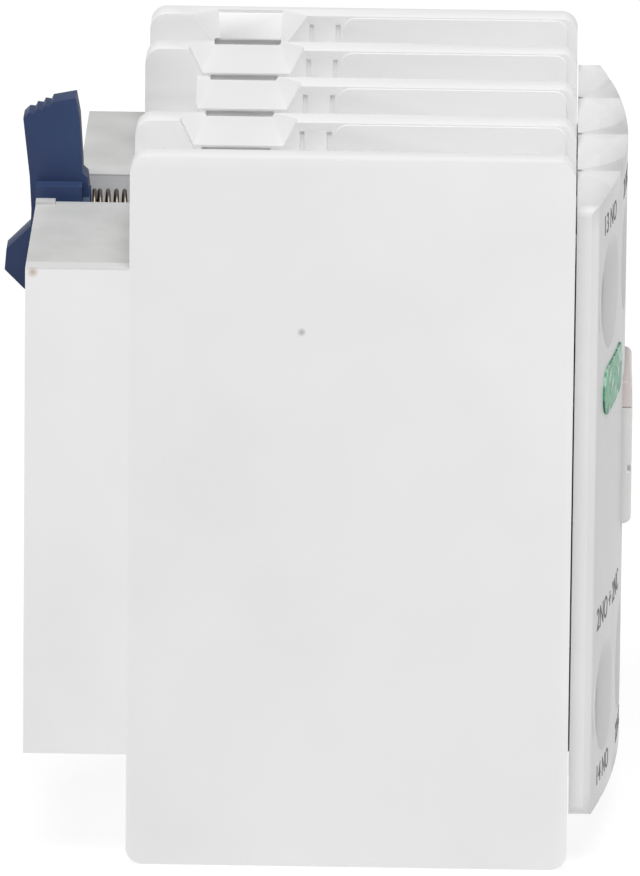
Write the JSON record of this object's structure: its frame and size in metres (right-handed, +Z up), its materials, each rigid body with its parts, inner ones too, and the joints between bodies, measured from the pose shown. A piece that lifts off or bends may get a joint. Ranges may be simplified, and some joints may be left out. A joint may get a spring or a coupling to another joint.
{
  "type": "contactor auxiliary contact block",
  "caption": "White clip-on auxiliary contact block with barriers between poles, screw clamp terminals, a crowned front cover, a sliding indicator and a blue spring latch.",
  "frame": {"origin": "middle of the bottom of the box round the whole part, at the level of the side plates' lower edges", "axes": "+Z up the height, +X across the poles to the right seen from the front, -Y towards the front cover, +Y towards the contactor"},
  "size_m": [0.044, 0.0422, 0.048],
  "materials": {
    "housing_plastic": "fine satin moulded thermoplastic, white",
    "cover_plastic": "fine satin moulded thermoplastic, white",
    "button_plastic": "satin moulded thermoplastic, white",
    "carrier_plastic": "glass-filled moulding, cream",
    "flag_plastic": "pale red moulded insert",
    "blue_plastic": "dark blue satin moulding",
    "green_print": "pad-printed green bar",
    "terminal_brass": "bright stamped strip",
    "contact_silver": "silver alloy contact tip",
    "plated_steel": "zinc-plated steel",
    "spring_steel": "drawn spring wire"
  },
  "bodies": {
    "body": {"housing": "housing_plastic", "rear_cover_left": "housing_plastic", "rear_cover_right": "housing_plastic", "front_cover": "cover_plastic", "driver_guides": "cover_plastic", "badge": "green_print", "latch_pin": "plated_steel", "latch_spring": "spring_steel", "return_spring_left": "spring_steel", "return_spring_right": "spring_steel", "fixed_tips_top": "contact_silver", "fixed_tips_bottom": "contact_silver", "terminal_top_1": "terminal_brass", "terminal_top_2": "terminal_brass", "terminal_top_3": "terminal_brass", "terminal_top_4": "terminal_brass", "terminal_bottom_1": "terminal_brass", "terminal_bottom_2": "terminal_brass", "terminal_bottom_3": "terminal_brass", "terminal_bottom_4": "terminal_brass"},
    "carrier": {"contact_carrier": "carrier_plastic", "indicator_button": "button_plastic", "indicator_flag": "flag_plastic", "contact_spring_1": "spring_steel", "contact_spring_2": "spring_steel", "contact_spring_3": "spring_steel", "contact_spring_4": "spring_steel"},
    "latch": {"latch_lever": "blue_plastic"},
    "bridge_body_1": {"bridge_1": "terminal_brass", "bridge_tips_1": "contact_silver"},
    "bridge_body_2": {"bridge_2": "terminal_brass", "bridge_tips_2": "contact_silver"},
    "bridge_body_3": {"bridge_3": "terminal_brass", "bridge_tips_3": "contact_silver"},
    "bridge_body_4": {"bridge_4": "terminal_brass", "bridge_tips_4": "contact_silver"},
    "clamp_body_top_1": {"clamp_top_1": "plated_steel"},
    "screw_body_top_1": {"screw_top_1": "plated_steel"},
    "clamp_body_top_2": {"clamp_top_2": "plated_steel"},
    "screw_body_top_2": {"screw_top_2": "plated_steel"},
    "clamp_body_top_3": {"clamp_top_3": "plated_steel"},
    "screw_body_top_3": {"screw_top_3": "plated_steel"},
    "clamp_body_top_4": {"clamp_top_4": "plated_steel"},
    "screw_body_top_4": {"screw_top_4": "plated_steel"},
    "clamp_body_bottom_1": {"clamp_bottom_1": "plated_steel"},
    "screw_body_bottom_1": {"screw_bottom_1": "plated_steel"},
    "clamp_body_bottom_2": {"clamp_bottom_2": "plated_steel"},
    "screw_body_bottom_2": {"screw_bottom_2": "plated_steel"},
    "clamp_body_bottom_3": {"clamp_bottom_3": "plated_steel"},
    "screw_body_bottom_3": {"screw_bottom_3": "plated_steel"},
    "clamp_body_bottom_4": {"clamp_bottom_4": "plated_steel"},
    "screw_body_bottom_4": {"screw_bottom_4": "plated_steel"}
  },
  "joints": [
    {"name": "carrier_press", "type": "slide", "parent": "body", "child": "carrier", "axis": [0, 1, 0], "range_m": [0, 0.0035], "stiffness_N_per_m": 300, "deforming": ["return_spring_left", "return_spring_right"]},
    {"name": "latch_tilt", "type": "hinge", "parent": "body", "child": "latch", "pos_m": [0, 0.01625, 0.029], "axis": [1, 0, 0], "range_deg": [0, 9], "stiffness_Nm_per_rad": 0.06, "deforming": ["latch_spring"]},
    {"name": "bridge_float_1", "type": "slide", "parent": "carrier", "child": "bridge_body_1", "axis": [0, 1, 0], "range_m": [-0.001, 0], "deforming": ["contact_spring_1"]},
    {"name": "bridge_float_2", "type": "slide", "parent": "carrier", "child": "bridge_body_2", "axis": [0, 1, 0], "range_m": [-0.001, 0], "deforming": ["contact_spring_2"]},
    {"name": "bridge_float_3", "type": "slide", "parent": "carrier", "child": "bridge_body_3", "axis": [0, 1, 0], "range_m": [-0.001, 0], "deforming": ["contact_spring_3"]},
    {"name": "bridge_float_4", "type": "slide", "parent": "carrier", "child": "bridge_body_4", "axis": [0, 1, 0], "range_m": [-0.001, 0], "deforming": ["contact_spring_4"]},
    {"name": "clamp_slide_top_1", "type": "slide", "parent": "body", "child": "clamp_body_top_1", "axis": [0, 1, 0], "range_m": [0, 0.0027]},
    {"name": "screw_turn_top_1", "type": "hinge", "parent": "clamp_body_top_1", "child": "screw_body_top_1", "pos_m": [-0.01553, 0.00485, 0.0378], "axis": [0, 1, 0], "range_deg": [0, 1620]},
    {"name": "clamp_slide_top_2", "type": "slide", "parent": "body", "child": "clamp_body_top_2", "axis": [0, 1, 0], "range_m": [0, 0.0027]},
    {"name": "screw_turn_top_2", "type": "hinge", "parent": "clamp_body_top_2", "child": "screw_body_top_2", "pos_m": [-0.00517, 0.00485, 0.0378], "axis": [0, 1, 0], "range_deg": [0, 1620]},
    {"name": "clamp_slide_top_3", "type": "slide", "parent": "body", "child": "clamp_body_top_3", "axis": [0, 1, 0], "range_m": [0, 0.0027]},
    {"name": "screw_turn_top_3", "type": "hinge", "parent": "clamp_body_top_3", "child": "screw_body_top_3", "pos_m": [0.00517, 0.00485, 0.0378], "axis": [0, 1, 0], "range_deg": [0, 1620]},
    {"name": "clamp_slide_top_4", "type": "slide", "parent": "body", "child": "clamp_body_top_4", "axis": [0, 1, 0], "range_m": [0, 0.0027]},
    {"name": "screw_turn_top_4", "type": "hinge", "parent": "clamp_body_top_4", "child": "screw_body_top_4", "pos_m": [0.01553, 0.00485, 0.0378], "axis": [0, 1, 0], "range_deg": [0, 1620]},
    {"name": "clamp_slide_bottom_1", "type": "slide", "parent": "body", "child": "clamp_body_bottom_1", "axis": [0, 1, 0], "range_m": [0, 0.0027]},
    {"name": "screw_turn_bottom_1", "type": "hinge", "parent": "clamp_body_bottom_1", "child": "screw_body_bottom_1", "pos_m": [-0.01553, 0.00485, 0.0102], "axis": [0, 1, 0], "range_deg": [0, 1620]},
    {"name": "clamp_slide_bottom_2", "type": "slide", "parent": "body", "child": "clamp_body_bottom_2", "axis": [0, 1, 0], "range_m": [0, 0.0027]},
    {"name": "screw_turn_bottom_2", "type": "hinge", "parent": "clamp_body_bottom_2", "child": "screw_body_bottom_2", "pos_m": [-0.00517, 0.00485, 0.0102], "axis": [0, 1, 0], "range_deg": [0, 1620]},
    {"name": "clamp_slide_bottom_3", "type": "slide", "parent": "body", "child": "clamp_body_bottom_3", "axis": [0, 1, 0], "range_m": [0, 0.0027]},
    {"name": "screw_turn_bottom_3", "type": "hinge", "parent": "clamp_body_bottom_3", "child": "screw_body_bottom_3", "pos_m": [0.00517, 0.00485, 0.0102], "axis": [0, 1, 0], "range_deg": [0, 1620]},
    {"name": "clamp_slide_bottom_4", "type": "slide", "parent": "body", "child": "clamp_body_bottom_4", "axis": [0, 1, 0], "range_m": [0, 0.0027]},
    {"name": "screw_turn_bottom_4", "type": "hinge", "parent": "clamp_body_bottom_4", "child": "screw_body_bottom_4", "pos_m": [0.01553, 0.00485, 0.0102], "axis": [0, 1, 0], "range_deg": [0, 1620]}
  ],
  "couplings": [
    {"joint": "bridge_float_1", "follows": "carrier_press", "ratio": -0.28571},
    {"joint": "bridge_float_2", "follows": "carrier_press", "ratio": -0.28571},
    {"joint": "bridge_float_3", "follows": "carrier_press", "ratio": -0.28571},
    {"joint": "bridge_float_4", "follows": "carrier_press", "ratio": -0.28571},
    {"joint": "clamp_slide_top_1", "follows": "screw_turn_top_1", "m_per_rad": 0.000095493},
    {"joint": "clamp_slide_top_2", "follows": "screw_turn_top_2", "m_per_rad": 0.000095493},
    {"joint": "clamp_slide_top_3", "follows": "screw_turn_top_3", "m_per_rad": 0.000095493},
    {"joint": "clamp_slide_top_4", "follows": "screw_turn_top_4", "m_per_rad": 0.000095493},
    {"joint": "clamp_slide_bottom_1", "follows": "screw_turn_bottom_1", "m_per_rad": 0.000095493},
    {"joint": "clamp_slide_bottom_2", "follows": "screw_turn_bottom_2", "m_per_rad": 0.000095493},
    {"joint": "clamp_slide_bottom_3", "follows": "screw_turn_bottom_3", "m_per_rad": 0.000095493},
    {"joint": "clamp_slide_bottom_4", "follows": "screw_turn_bottom_4", "m_per_rad": 0.000095493}
  ]
}
